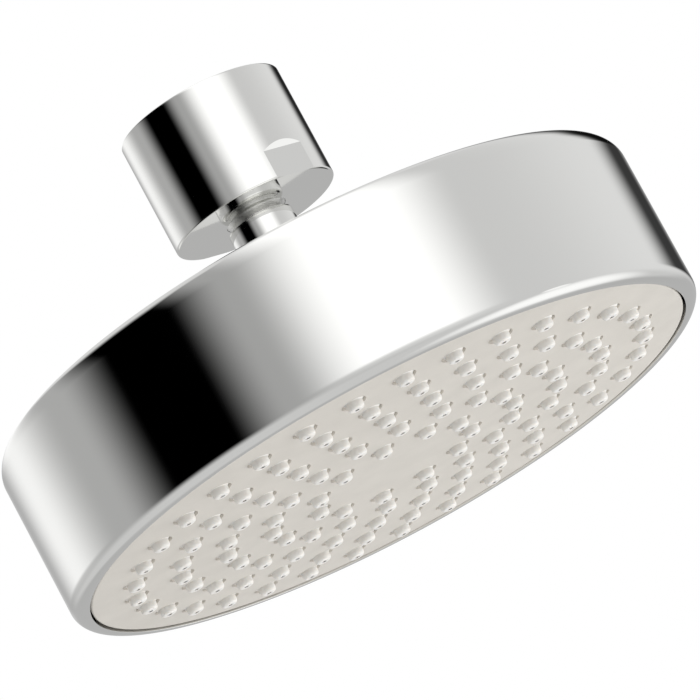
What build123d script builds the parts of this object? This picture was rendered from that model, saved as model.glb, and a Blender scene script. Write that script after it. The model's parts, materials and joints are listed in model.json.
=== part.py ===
from build123d import *

import os
from math import cos, pi, radians, sin, sqrt, tan

# Shower head on a ball joint. A chromed drum with a domed nozzle plate hangs from a connector nut.
# Millimetres, +Z up along the axis, origin at the centre of the mouth of the nut's inlet thread.

os.makedirs("parts", exist_ok=True)

# Connector nut
nut_d = 27.3
nut_edge = 0.35
flat_across = 26.26
flat_h = 5.0
flat_ledge_slope = 49.0
thread_d = 20.955
thread_depth = 7.2
exit_hole_d = 10.42

# Ball joint inside the nut
ball_d = 15.0
ball_gap = 0.15
ball_crown = 3.3
seat_h = 2.4
seat_lift = 0.05
seat_wall = 1.4
seat_gap = 0.2
seat_ring_cord = 1.0
seat_ring_rise = 1.3
ring_slack = 0.05
spring_h = 0.6
spring_t = 0.35
retainer_h = 1.4
retainer_slot_w = 2.0
retainer_slot_h = 0.8

# Washer and filter in the inlet
washer_h = 2.0
washer_slack = 0.05
washer_hole_d = 12.8
filter_rim_w = 0.8
filter_rim_h = 0.8
filter_sheet_t = 0.3
filter_hole_d = 0.7
filter_pitch = 1.1

# Flow regulator in the ball
inlet_d = 10.6
inlet_depth = 4.0
regulator_gap = 0.3
regulator_lift = 0.05
regulator_seal_cord = 1.1
regulator_seal_gap = 0.1
regulator_post_d = 2.6
regulator_ring_cord = 1.5
regulator_ring_slack = 0.35
regulator_port_d = 1.1
regulator_port_count = 6

# Ball shank and stem
water_bore_d = 4.0
shank_wall = 1.4
shank_len = 7.5
key_across = 4.6
key_depth = 3.0
neck_shoulder = 0.6
neck_len = 0.36
stem_d = 10.9
stem_len = 16.25
stem_round = 0.6
flange_d = 18.0
flange_h = 2.2
flange_round = 0.7
gasket_h = 1.0
gasket_inset = 0.4
tail_d = 10.0
tail_chamfer = 0.5
tail_play = 0.15

# Drum
drum_d = 108.0
drum_h = 27.15
drum_wall = 2.6
drum_roof = 2.4
drum_top_round = 3.2
drum_rim_round = 1.7
drum_inside_round = 2.0
rim_lip_chamfer = 0.2
rib_count = 6
rib_t = 1.6
rib_h = 3.0
rib_clear = 2.5

# Stem fixing inside the drum
lock_washer_d = 19.0
lock_washer_h = 1.0
lock_nut_across = 17.0
lock_nut_h = 4.0
boss_gap = 1.0
boss_thread_h = 4.0
boss_wall = 3.5
boss_floor = 1.6
spigot_ring_cord = 1.6

# Face plate, nozzle mat and spray chamber
plate_gap = 0.3
plate_recess = 0.25
plate_dome = 1.45
plate_t = 2.0
plate_edge_round = 0.3
plate_wall_w = 4.3
plate_wall_h = 5.0
mat_t = 1.5
mat_gap = 0.2
lay_gap = 0.05
ring_counts = (11, 18, 23, 28, 33)
first_ring_r = 13.32
ring_margin = 2.72
nozzle_hole_d = 4.1
nozzle_d = 2.84
nozzle_out = 1.1
nozzle_taper = 0.1
nozzle_tip_d = 1.6
nozzle_tip_h = 0.45
nozzle_root = 0.6
orifice_d = 0.8
feed_d = 1.7
orifice_h = 0.9
chamber_t = 2.2
clamp_w = 1.4
screw_count = 8
screw_d = 2.6
screw_clear = 0.2
screw_bite = 3.4
screw_end_gap = 0.2
screw_head_d = 4.0
screw_head_h = 1.6
screw_slot_w = 0.7
screw_slot_l = 2.4
screw_slot_h = 0.8

# How far a cutter runs past the face that it opens
cut_over = 1.0

# Heights along the axis, from the thread's mouth down to the rim
thread_floor_z = -thread_depth
washer_z = thread_floor_z - washer_h
retainer_z = washer_z - retainer_h
spring_z = retainer_z - spring_h
seat_z = spring_z - seat_h
ball_z = seat_z - seat_lift
ball_r = ball_d / 2
cavity_r = ball_r + ball_gap
exit_r = exit_hole_d / 2
nut_low_z = ball_z - sqrt(cavity_r**2 - exit_r**2)
shank_d = water_bore_d + 2 * shank_wall
neck_d = shank_d + 2 * neck_shoulder
neck_z = ball_z - sqrt(ball_r**2 - (neck_d / 2) ** 2)
stem_top_z = neck_z - neck_len
drum_top_z = stem_top_z - stem_len
rim_z = drum_top_z - drum_h
roof_z = drum_top_z - drum_roof
lock_nut_z = roof_z - lock_washer_h - lock_nut_h
boss_top_z = lock_nut_z - boss_gap
tail_end_z = boss_top_z - boss_thread_h
boss_floor_z = tail_end_z - spigot_ring_cord

# Radii that several pieces share
nut_r = nut_d / 2
seat_r = cavity_r + seat_wall
seat_bore_r = seat_r + seat_gap
seat_open_r = sqrt(cavity_r**2 - (seat_lift + seat_h) ** 2)
drum_r = drum_d / 2
drum_bore_r = drum_r - drum_wall
plate_r = drum_bore_r - plate_gap
plate_bore_r = plate_r - plate_wall_w
mat_r = plate_bore_r - mat_gap
screw_circle_r = plate_r - plate_wall_w / 2

# The face is part of a large sphere, and the mat's two sides share its centre
plate_edge_z = rim_z + plate_recess
dome_r = (plate_r**2 + plate_dome**2) / (2 * plate_dome)
dome_centre_z = plate_edge_z + sqrt(dome_r**2 - plate_r**2)
plate_top_z = plate_edge_z + plate_wall_h


def dome_z(r, depth=0.0):
    """Height of the domed face at radius r, or of the sphere that lies depth behind it."""
    return dome_centre_z - sqrt((dome_r - depth) ** 2 - r**2)


def dome_arc(r_from, r_to, depth=0.0):
    """Arc of the domed face's section, or of the sphere that lies depth behind it."""
    r_mid = (r_from + r_to) / 2
    return ThreePointArc(*[(r, dome_z(r, depth)) for r in (r_from, r_mid, r_to)])


def sphere_arc(radius, rise_from, rise_to):
    """Arc about the ball's centre between two heights measured from that centre."""
    rise_mid = (rise_from + rise_to) / 2
    rises = (rise_from, rise_mid, rise_to)
    return ThreePointArc(*[(sqrt(radius**2 - rise**2), ball_z + rise) for rise in rises])


def corner(section, r, z):
    """Vertex of a section that lies nearest to radius r and height z."""
    return section.vertices().sort_by_distance((r, z))[0]


# Every ring of nozzles starts on the +X side
ring_pitch = (mat_r - ring_margin - first_ring_r) / (len(ring_counts) - 1)
nozzle_places = []
for ring, count in enumerate(ring_counts):
    ring_r = first_ring_r + ring * ring_pitch
    for step in range(count):
        angle = 2 * pi * step / count
        nozzle_places.append((ring_r * cos(angle), ring_r * sin(angle), dome_z(ring_r)))

# Connector nut
flat_top_z = nut_low_z + flat_h
cutter_reach = nut_r - flat_across / 2 + nut_edge
with BuildPart() as connector_nut:
    with BuildSketch(Plane.XZ):
        with BuildLine():
            Polyline(
                (exit_r, nut_low_z),
                (nut_r - nut_edge, nut_low_z),
                (nut_r, nut_low_z + nut_edge),
                (nut_r, -nut_edge),
                (nut_r - nut_edge, 0),
                (thread_d / 2, 0),
                (thread_d / 2, thread_floor_z),
                (seat_bore_r, thread_floor_z),
                (seat_bore_r, ball_z),
                (cavity_r, ball_z),
            )
            sphere_arc(cavity_r, 0, nut_low_z - ball_z)
        make_face()
    revolve(axis=Axis.Z)
    with BuildSketch(Plane.YZ):
        with BuildLine():
            Polyline(
                (flat_across / 2, nut_low_z),
                (flat_across / 2, flat_top_z),
                (
                    flat_across / 2 + cutter_reach,
                    flat_top_z + cutter_reach * tan(radians(flat_ledge_slope)),
                ),
                (flat_across / 2 + cutter_reach, nut_low_z),
                close=True,
            )
        make_face()
        mirror(about=Plane.YZ)
    extrude(amount=nut_r, both=True, mode=Mode.SUBTRACT)
connector_nut.part.label = "connector_nut"
export_step(connector_nut.part, "parts/connector_nut.step")

# Threaded ring over the ball seat, with two slots for a pin wrench
with BuildPart() as seat_retainer:
    with BuildSketch(Plane.XY.offset(retainer_z)):
        Circle(seat_bore_r)
        Circle(seat_open_r, mode=Mode.SUBTRACT)
    extrude(amount=retainer_h)
    with BuildSketch(Plane.XY.offset(washer_z)):
        Rectangle(2 * seat_bore_r, retainer_slot_w)
    extrude(amount=-retainer_slot_h, mode=Mode.SUBTRACT)
seat_retainer.part.label = "seat_retainer"
export_step(seat_retainer.part, "parts/seat_retainer.step")

# Conical spring washer: outer edge on the seat, inner edge under the retainer
spring_in_r = seat_open_r + ring_slack
with BuildPart() as seat_spring:
    with BuildSketch(Plane.XZ):
        with BuildLine():
            Polyline(
                (seat_r, spring_z),
                (seat_r, spring_z + spring_t),
                (spring_in_r, retainer_z),
                (spring_in_r, retainer_z - spring_t),
                close=True,
            )
        make_face()
    revolve(axis=Axis.Z)
seat_spring.part.label = "seat_spring"
export_step(seat_spring.part, "parts/seat_spring.step")

# Seat ring on the ball's upper half, with a groove for its seal
seat_ring_r = sqrt((cavity_r + seat_ring_cord / 2) ** 2 - seat_ring_rise**2)
seat_ring_z = ball_z + seat_ring_rise
groove_half_h = seat_ring_cord / 2 + ring_slack
with BuildPart() as ball_seat:
    with BuildSketch(Plane.XZ):
        with BuildLine():
            Polyline(
                (sqrt(cavity_r**2 - seat_lift**2), seat_z),
                (seat_r, seat_z),
                (seat_r, spring_z),
                (seat_open_r, spring_z),
            )
            sphere_arc(cavity_r, seat_lift + seat_h, seat_lift)
        make_face()
        with Locations((0, seat_ring_z)):
            Rectangle(
                2 * (seat_ring_r + seat_ring_cord / 2),
                2 * groove_half_h,
                mode=Mode.SUBTRACT,
            )
    revolve(axis=Axis.Z)
ball_seat.part.label = "ball_seat"
export_step(ball_seat.part, "parts/ball_seat.step")

with BuildPart() as seat_o_ring:
    with BuildSketch(Plane.XZ):
        with Locations((seat_ring_r, seat_ring_z)):
            Circle(seat_ring_cord / 2)
    revolve(axis=Axis.Z)
seat_o_ring.part.label = "seat_o_ring"
export_step(seat_o_ring.part, "parts/seat_o_ring.step")

# Rubber washer that the supply pipe's end presses on
with BuildPart() as inlet_washer:
    with BuildSketch(Plane.XY.offset(washer_z)):
        Circle(seat_bore_r - washer_slack)
        Circle(washer_hole_d / 2, mode=Mode.SUBTRACT)
    extrude(amount=washer_h)
inlet_washer.part.label = "inlet_washer"
export_step(inlet_washer.part, "parts/inlet_washer.step")

# Strainer: a rim that grips the washer's hole and a perforated sheet
filter_mid_z = washer_z + washer_h / 2
mesh_r = washer_hole_d / 2 - filter_rim_w
row_pitch = filter_pitch * sqrt(3) / 2
rows = int(mesh_r / row_pitch)
columns = int(mesh_r / filter_pitch) + 1
mesh_places = []
for row in range(-rows, rows + 1):
    for column in range(-columns, columns + 1):
        x = (column + row % 2 / 2) * filter_pitch
        y = row * row_pitch
        if sqrt(x**2 + y**2) < mesh_r - filter_hole_d:
            mesh_places.append((x, y))
with BuildPart() as filter_screen:
    with BuildSketch(Plane.XY.offset(filter_mid_z)):
        Circle(washer_hole_d / 2)
        Circle(mesh_r, mode=Mode.SUBTRACT)
    extrude(amount=filter_rim_h / 2, both=True)
    with BuildSketch(Plane.XY.offset(filter_mid_z)):
        Circle(mesh_r)
        with Locations(*mesh_places):
            Circle(filter_hole_d / 2, mode=Mode.SUBTRACT)
    extrude(amount=filter_sheet_t / 2, both=True)
filter_screen.part.label = "filter_screen"
export_step(filter_screen.part, "parts/filter_screen.step")

# Ball with its inlet, hexagon key socket, neck and hollow threaded shank
crown_z = ball_z + ball_crown
inlet_floor_z = crown_z - inlet_depth
shank_end_z = stem_top_z - shank_len
with BuildPart() as swivel_ball:
    with BuildSketch(Plane.XZ):
        with BuildLine():
            Polyline(
                (neck_d / 2, neck_z),
                (neck_d / 2, stem_top_z),
                (shank_d / 2, stem_top_z),
                (shank_d / 2, shank_end_z),
                (water_bore_d / 2, shank_end_z),
                (water_bore_d / 2, inlet_floor_z),
                (inlet_d / 2, inlet_floor_z),
                (inlet_d / 2, crown_z),
                (sqrt(ball_r**2 - ball_crown**2), crown_z),
            )
            sphere_arc(ball_r, ball_crown, neck_z - ball_z)
        make_face()
    revolve(axis=Axis.Z)
    with BuildSketch(Plane.XY.offset(inlet_floor_z)):
        RegularPolygon(key_across / 2, 6, major_radius=False)
    extrude(amount=-key_depth, mode=Mode.SUBTRACT)
swivel_ball.part.label = "swivel_ball"
export_step(swivel_ball.part, "parts/swivel_ball.step")

# Flow regulator: an insert in the ball's inlet with a ring channel, ports and a seal groove
regulator_r = inlet_d / 2 - regulator_gap
regulator_low_z = inlet_floor_z + regulator_lift
regulator_h = inlet_depth - regulator_lift - regulator_gap
regulator_mid_z = regulator_low_z + regulator_h / 2
channel_in_r = regulator_post_d / 2
channel_out_r = channel_in_r + regulator_ring_cord + 2 * regulator_ring_slack
channel_mid_r = (channel_in_r + channel_out_r) / 2
seal_mid_r = inlet_d / 2 - regulator_seal_gap - regulator_seal_cord / 2
with BuildPart() as flow_regulator:
    with BuildSketch(Plane.XY.offset(regulator_low_z)):
        Circle(regulator_r)
    extrude(amount=regulator_h)
    with BuildSketch(Plane.XY.offset(regulator_mid_z)):
        Circle(channel_out_r)
        Circle(channel_in_r, mode=Mode.SUBTRACT)
    extrude(amount=regulator_h / 2, mode=Mode.SUBTRACT)
    with BuildSketch(Plane.XY.offset(regulator_low_z)):
        with PolarLocations(channel_mid_r, regulator_port_count):
            Circle(regulator_port_d / 2)
    extrude(amount=regulator_h / 2, mode=Mode.SUBTRACT)
    with BuildSketch(Plane.XY.offset(regulator_mid_z)):
        Circle(regulator_r)
        Circle(seal_mid_r - regulator_seal_cord / 2, mode=Mode.SUBTRACT)
    extrude(amount=regulator_seal_cord / 2 + ring_slack, both=True, mode=Mode.SUBTRACT)
flow_regulator.part.label = "flow_regulator"
export_step(flow_regulator.part, "parts/flow_regulator.step")

with BuildPart() as regulator_ring:
    with BuildSketch(Plane.XZ):
        with Locations((channel_mid_r, regulator_mid_z + regulator_ring_cord / 2)):
            Circle(regulator_ring_cord / 2)
    revolve(axis=Axis.Z)
regulator_ring.part.label = "regulator_ring"
export_step(regulator_ring.part, "parts/regulator_ring.step")

with BuildPart() as regulator_o_ring:
    with BuildSketch(Plane.XZ):
        with Locations((seal_mid_r, regulator_mid_z)):
            Circle(regulator_seal_cord / 2)
    revolve(axis=Axis.Z)
regulator_o_ring.part.label = "regulator_o_ring"
export_step(regulator_o_ring.part, "parts/regulator_o_ring.step")

# Seal between the shank's end and the floor of the stem's socket
shank_ring_cord = shank_wall - 2 * ring_slack
socket_floor_z = shank_end_z - shank_ring_cord
with BuildPart() as shank_o_ring:
    with BuildSketch(Plane.XZ):
        with Locations(((shank_d + water_bore_d) / 4, shank_end_z - shank_ring_cord / 2)):
            Circle(shank_ring_cord / 2)
    revolve(axis=Axis.Z)
shank_o_ring.part.label = "shank_o_ring"
export_step(shank_o_ring.part, "parts/shank_o_ring.step")

# Stem: rounded collar on top, flange over the drum, threaded tail inside it
flange_z = drum_top_z + gasket_h
with BuildPart() as stem:
    with BuildSketch(Plane.XZ) as stem_section:
        with BuildLine():
            Polyline(
                (shank_d / 2, stem_top_z),
                (stem_d / 2, stem_top_z),
                (stem_d / 2, flange_z + flange_h),
                (flange_d / 2, flange_z + flange_h),
                (flange_d / 2, flange_z),
                (tail_d / 2, flange_z),
                (tail_d / 2, tail_end_z + tail_chamfer),
                (tail_d / 2 - tail_chamfer, tail_end_z),
                (water_bore_d / 2, tail_end_z),
                (water_bore_d / 2, socket_floor_z),
                (shank_d / 2, socket_floor_z),
                close=True,
            )
        make_face()
        fillet(corner(stem_section, stem_d / 2, stem_top_z), stem_round)
        fillet(corner(stem_section, flange_d / 2, flange_z + flange_h), flange_round)
    revolve(axis=Axis.Z)
stem.part.label = "stem"
export_step(stem.part, "parts/stem.step")

with BuildPart() as flange_gasket:
    with BuildSketch(Plane.XY.offset(drum_top_z)):
        Circle(flange_d / 2 - gasket_inset)
        Circle(tail_d / 2 + tail_play, mode=Mode.SUBTRACT)
    extrude(amount=gasket_h)
flange_gasket.part.label = "flange_gasket"
export_step(flange_gasket.part, "parts/flange_gasket.step")

# Drum: an open cup with ribs under its roof
rib_from_r = lock_washer_d / 2 + rib_clear
rib_len = drum_bore_r - rib_from_r
with BuildPart() as housing:
    with BuildSketch(Plane.XZ) as drum_section:
        with BuildLine():
            Polyline(
                (drum_bore_r, rim_z),
                (drum_r, rim_z),
                (drum_r, drum_top_z),
                (tail_d / 2 + tail_play, drum_top_z),
                (tail_d / 2 + tail_play, roof_z),
                (drum_bore_r, roof_z),
                close=True,
            )
        make_face()
        fillet(corner(drum_section, drum_r, drum_top_z), drum_top_round)
        fillet(corner(drum_section, drum_r, rim_z), drum_rim_round)
        fillet(corner(drum_section, drum_bore_r, roof_z), drum_inside_round)
        chamfer(corner(drum_section, drum_bore_r, rim_z), rim_lip_chamfer)
    revolve(axis=Axis.Z)
    with BuildSketch(Plane.XY.offset(roof_z)):
        with PolarLocations(rib_from_r + rib_len / 2, rib_count):
            Rectangle(rib_len, rib_t)
    extrude(amount=-rib_h)
housing.part.label = "housing"
export_step(housing.part, "parts/housing.step")

with BuildPart() as lock_washer:
    with BuildSketch(Plane.XY.offset(roof_z)):
        Circle(lock_washer_d / 2)
        Circle(tail_d / 2 + tail_play, mode=Mode.SUBTRACT)
    extrude(amount=-lock_washer_h)
lock_washer.part.label = "lock_washer"
export_step(lock_washer.part, "parts/lock_washer.step")

with BuildPart() as lock_nut:
    with BuildSketch(Plane.XY.offset(lock_nut_z)):
        RegularPolygon(lock_nut_across / 2, 6, major_radius=False)
        Circle(tail_d / 2, mode=Mode.SUBTRACT)
    extrude(amount=lock_nut_h)
lock_nut.part.label = "lock_nut"
export_step(lock_nut.part, "parts/lock_nut.step")

# Face plate: a domed disc with nozzle holes, and a wall that takes the chamber's screws
screw_end_z = plate_top_z - screw_bite
with BuildPart() as face_plate:
    with BuildSketch(Plane.XZ) as plate_section:
        with BuildLine():
            dome_arc(0, plate_r)
            Polyline(
                (plate_r, plate_edge_z),
                (plate_r, plate_top_z),
                (plate_bore_r, plate_top_z),
                (plate_bore_r, dome_z(plate_bore_r, plate_t)),
            )
            dome_arc(plate_bore_r, 0, plate_t)
            Line((0, dome_z(0, plate_t)), (0, dome_z(0)))
        make_face()
        fillet(corner(plate_section, plate_r, plate_edge_z), plate_edge_round)
    revolve(axis=Axis.Z)
    with Locations(*nozzle_places):
        Cylinder(nozzle_hole_d / 2, 2 * (plate_t + cut_over), mode=Mode.SUBTRACT)
    with BuildSketch(Plane.XY.offset(plate_top_z)):
        with PolarLocations(screw_circle_r, screw_count):
            Circle(screw_d / 2)
    extrude(amount=-screw_bite - screw_end_gap, mode=Mode.SUBTRACT)
face_plate.part.label = "face_plate"
export_step(face_plate.part, "parts/face_plate.step")

# One nozzle, with the plate's face at its origin
with BuildPart() as nozzle:
    with BuildSketch(Plane.XZ):
        with BuildLine():
            Polyline(
                (0, plate_t + nozzle_root),
                (nozzle_d / 2, plate_t + nozzle_root),
                (nozzle_d / 2, 0),
                (nozzle_d / 2 - nozzle_taper, nozzle_tip_h - nozzle_out),
                (nozzle_tip_d / 2, -nozzle_out),
                (0, -nozzle_out),
                close=True,
            )
        make_face()
    revolve(axis=Axis.Z)

# Silicone mat: a domed sheet behind the plate with all the nozzles
mat_front = plate_t + lay_gap
mat_back = mat_front + mat_t
feed_from = orifice_h - nozzle_out
feed_h = mat_back + cut_over - feed_from
with BuildPart() as nozzle_mat:
    with BuildSketch(Plane.XZ):
        with BuildLine():
            dome_arc(0, mat_r, mat_front)
            Line((mat_r, dome_z(mat_r, mat_front)), (mat_r, dome_z(mat_r, mat_back)))
            dome_arc(mat_r, 0, mat_back)
            Line((0, dome_z(0, mat_back)), (0, dome_z(0, mat_front)))
        make_face()
    revolve(axis=Axis.Z)
    with Locations(*nozzle_places):
        add(nozzle.part)
    with Locations(*nozzle_places):
        Cylinder(orifice_d / 2, 2 * (nozzle_out + cut_over), mode=Mode.SUBTRACT)
    with Locations(*[(x, y, z + feed_from) for x, y, z in nozzle_places]):
        Cylinder(
            feed_d / 2,
            feed_h,
            align=(Align.CENTER, Align.CENTER, Align.MIN),
            mode=Mode.SUBTRACT,
        )
nozzle_mat.part.label = "nozzle_mat"
export_step(nozzle_mat.part, "parts/nozzle_mat.step")

# Chamber plate: back of the spray chamber, its boss threads onto the stem's tail
chamber_top_z = plate_top_z + chamber_t
boss_r = tail_d / 2 + boss_wall
clamp_out_r = mat_r - lay_gap
clamp_z = dome_z(clamp_out_r, mat_back) + lay_gap
with BuildPart() as chamber_plate:
    with BuildSketch(Plane.XY.offset(plate_top_z)):
        Circle(plate_r)
        with PolarLocations(screw_circle_r, screw_count):
            Circle(screw_d / 2 + screw_clear, mode=Mode.SUBTRACT)
    extrude(amount=chamber_t)
    with BuildSketch(Plane.XY.offset(clamp_z)):
        Circle(clamp_out_r)
        Circle(clamp_out_r - clamp_w, mode=Mode.SUBTRACT)
    extrude(amount=plate_top_z - clamp_z)
    with BuildSketch(Plane.XY.offset(chamber_top_z)):
        Circle(boss_r)
    extrude(amount=boss_top_z - chamber_top_z)
    with BuildSketch(Plane.XY.offset(boss_top_z)):
        Circle(tail_d / 2)
    extrude(amount=boss_floor_z - boss_top_z, mode=Mode.SUBTRACT)
    with BuildSketch(Plane.XY.offset(boss_floor_z)):
        Circle(water_bore_d / 2)
    extrude(amount=plate_top_z - boss_floor_z, mode=Mode.SUBTRACT)
    with BuildSketch(Plane.XY.offset(boss_floor_z - boss_floor)):
        Circle(tail_d / 2)
    extrude(amount=plate_top_z - boss_floor_z + boss_floor, mode=Mode.SUBTRACT)
chamber_plate.part.label = "chamber_plate"
export_step(chamber_plate.part, "parts/chamber_plate.step")

# Seal between the tail's end and the boss's floor
with BuildPart() as spigot_o_ring:
    with BuildSketch(Plane.XZ):
        with Locations(((tail_d + water_bore_d) / 4, tail_end_z - spigot_ring_cord / 2)):
            Circle(spigot_ring_cord / 2)
    revolve(axis=Axis.Z)
spigot_o_ring.part.label = "spigot_o_ring"
export_step(spigot_o_ring.part, "parts/spigot_o_ring.step")

# Cross-slot screws, joined in one node
with BuildPart() as chamber_screws:
    with BuildSketch(Plane.XY.offset(chamber_top_z)):
        with PolarLocations(screw_circle_r, screw_count):
            Circle(screw_head_d / 2)
    extrude(amount=screw_head_h)
    with BuildSketch(Plane.XY.offset(chamber_top_z)):
        with PolarLocations(screw_circle_r, screw_count):
            Circle(screw_d / 2)
    extrude(amount=screw_end_z - chamber_top_z)
    with BuildSketch(Plane.XY.offset(chamber_top_z + screw_head_h)):
        with PolarLocations(screw_circle_r, screw_count):
            Rectangle(screw_slot_l, screw_slot_w)
            Rectangle(screw_slot_w, screw_slot_l)
    extrude(amount=-screw_slot_h, mode=Mode.SUBTRACT)
chamber_screws.part.label = "chamber_screws"
export_step(chamber_screws.part, "parts/chamber_screws.step")
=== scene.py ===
# %% [markdown]
# # A shower head on a ball joint
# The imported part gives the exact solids: a connector nut, a ball joint, a stem, a drum and a nozzle face.
# This lesson gives them their looks. Mirror-bright pieces show every facet, so the pieces in sight are
# modelled again as fine smooth meshes on nearly the same sizes, and the hidden pieces keep their solids.

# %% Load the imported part
import json
from math import acos, asin, cos, degrees, pi, radians, sin, sqrt, tan

import bpy
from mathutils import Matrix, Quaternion, Vector


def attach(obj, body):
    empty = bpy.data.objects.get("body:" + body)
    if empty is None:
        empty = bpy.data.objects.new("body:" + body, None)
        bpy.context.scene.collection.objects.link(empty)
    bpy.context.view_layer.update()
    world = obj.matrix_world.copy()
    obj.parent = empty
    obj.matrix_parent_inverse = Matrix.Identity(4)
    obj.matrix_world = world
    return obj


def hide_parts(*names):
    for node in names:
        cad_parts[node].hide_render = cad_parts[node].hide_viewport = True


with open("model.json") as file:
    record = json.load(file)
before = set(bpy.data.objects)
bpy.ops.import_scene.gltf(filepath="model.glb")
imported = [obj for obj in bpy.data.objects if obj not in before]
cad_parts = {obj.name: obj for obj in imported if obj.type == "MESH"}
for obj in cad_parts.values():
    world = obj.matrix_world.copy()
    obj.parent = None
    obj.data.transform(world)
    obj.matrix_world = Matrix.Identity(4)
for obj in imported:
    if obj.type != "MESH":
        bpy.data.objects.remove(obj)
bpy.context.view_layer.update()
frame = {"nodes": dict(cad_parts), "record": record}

MM = 0.001

# %% [markdown]
# ## Camera
# The camera comes first, because every look is judged through it. The photograph was taken from below
# and with a long lens, so the drum's sides stay nearly parallel. The camera is placed by the direction
# from which it looks, its distance and its roll about the line of sight.

# %% Camera
VIEW_AZIMUTH = radians(-130.26)
VIEW_ELEVATION = radians(-14.261)
VIEW_ROLL = radians(-28.505)
VIEW_DISTANCE = 1085.467 * MM
VIEW_TARGET = Vector((2.104, -1.782, -45.294)) * MM
LENS_MM = 363.37
NEAR_CLIP = 10 * MM

outward = Vector((
    cos(VIEW_ELEVATION) * cos(VIEW_AZIMUTH),
    cos(VIEW_ELEVATION) * sin(VIEW_AZIMUTH),
    sin(VIEW_ELEVATION),
))
level_turn = (-outward).to_track_quat("-Z", "Y")
bpy.ops.object.camera_add(location=VIEW_TARGET + VIEW_DISTANCE * outward)
camera = bpy.context.object
camera.name = "photo_camera"
camera.rotation_mode = "QUATERNION"
camera.rotation_quaternion = level_turn @ Quaternion((0, 0, 1), VIEW_ROLL)
camera.data.lens = LENS_MM
camera.data.clip_start = NEAR_CLIP
bpy.context.scene.camera = camera
bpy.context.scene.view_settings.view_transform = "Standard"
print("camera at", [round(value, 3) for value in camera.location])

# %% [markdown]
# ## Tools for materials
# Colours are written as on a screen, as sRGB hex values, and Cycles works in linear light, so one function
# converts them. Another adds a node with its options, socket values and links. A pattern's scale is the
# number of features in a metre, so it is worked out from the real size of one feature in millimetres.

# %% Tools for materials
def linear(hex_colour):
    """Linear RGBA of an sRGB hex colour."""
    channels = [int(hex_colour[start:start + 2], 16) / 255 for start in (1, 3, 5)]
    return (*[c / 12.92 if c <= 0.04045 else ((c + 0.055) / 1.055) ** 2.4 for c in channels], 1.0)


def add_node(tree, kind, options=None, values=None, links=None):
    """Adds a node, sets its options and socket values, and links its sockets to their sources."""
    node = tree.nodes.new(kind)
    for name, value in (options or {}).items():
        setattr(node, name, value)
    for socket, value in (values or {}).items():
        node.inputs[socket].default_value = value
    for socket, source in (links or {}).items():
        tree.links.new(source, node.inputs[socket])
    return node


def per_metre(feature_mm):
    """Texture scale at which one feature is about this many millimetres wide."""
    return 1 / (feature_mm * MM)


def new_material(name):
    """A material with one shader: gives the material, its tree, its shader and its coordinates."""
    material = bpy.data.materials.new(name)
    material.use_nodes = True
    tree = material.node_tree
    place = add_node(tree, "ShaderNodeTexCoord").outputs["Object"]
    return material, tree, tree.nodes["Principled BSDF"], place


print("mid grey in linear light:", round(linear("#808080")[0], 3))

# %% [markdown]
# ## Chrome plate
# The nut and stem are turned brass, polished and plated with bright chrome. The plate is a mirror with
# a neutral colour. Polishing leaves faint lines around the axis, so a noise that is squeezed along Z
# varies the roughness a little, and finger-wide clouds stand for the film that water leaves.
# Real polishing lines are a few microns apart; they are drawn at a third of a millimetre so that they show.

# %% Chrome on turned brass
CHROME_COLOUR = "#EDEDEB"

chromed_brass, tree, shader, place = new_material("bright_chrome_on_brass")
lines = add_node(
    tree, "ShaderNodeMapping", values={"Scale": (0.05, 0.05, 1.0)}, links={"Vector": place}
)
polish = add_node(
    tree,
    "ShaderNodeTexNoise",
    values={"Scale": per_metre(0.33), "Detail": 2.0},
    links={"Vector": lines.outputs["Vector"]},
)
film = add_node(
    tree, "ShaderNodeTexNoise", values={"Scale": per_metre(9.0), "Detail": 3.0}, links={"Vector": place}
)
mixed = add_node(
    tree,
    "ShaderNodeMath",
    {"operation": "MULTIPLY"},
    links={0: polish.outputs["Fac"], 1: film.outputs["Fac"]},
)
gloss = add_node(
    tree,
    "ShaderNodeMapRange",
    values={"From Min": 0.1, "From Max": 0.45, "To Min": 0.025, "To Max": 0.06},
    links={"Value": mixed.outputs["Value"]},
)
tree.links.new(gloss.outputs["Result"], shader.inputs["Roughness"])
shader.inputs["Base Color"].default_value = linear(CHROME_COLOUR)
shader.inputs["Metallic"].default_value = 1.0
print("material:", chromed_brass.name)

# %% [markdown]
# The ball carries chrome too, but with a satin skin. In the narrow gap between nut and collar a mirror would
# repeat both of them in a maze of dark lines, and the neck looks pale and plain instead. The satin has a
# fine grain, about a tenth of a millimetre as it is drawn here. Most of a noise texture's values lie in its
# middle range, so that range is what the roughness is stretched over, here and in the next materials.

# %% Satin chrome on the ball
NOISE_LOW = 0.3
NOISE_HIGH = 0.7

satin_chrome, tree, shader, place = new_material("satin_chrome_on_brass")
grain = add_node(
    tree, "ShaderNodeTexNoise", values={"Scale": per_metre(0.1), "Detail": 1.0}, links={"Vector": place}
)
gloss = add_node(
    tree,
    "ShaderNodeMapRange",
    values={"From Min": NOISE_LOW, "From Max": NOISE_HIGH, "To Min": 0.34, "To Max": 0.42},
    links={"Value": grain.outputs["Fac"]},
)
tree.links.new(gloss.outputs["Result"], shader.inputs["Roughness"])
shader.inputs["Base Color"].default_value = linear("#F1F1EF")
shader.inputs["Metallic"].default_value = 1.0
print("material:", satin_chrome.name)

# %% [markdown]
# The drum is a moulded cup of ABS plastic with the same plate on it. Nothing was turned there, so it has no
# lines. Its skin follows the mould, with a very slight waviness about three centimetres long.

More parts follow.
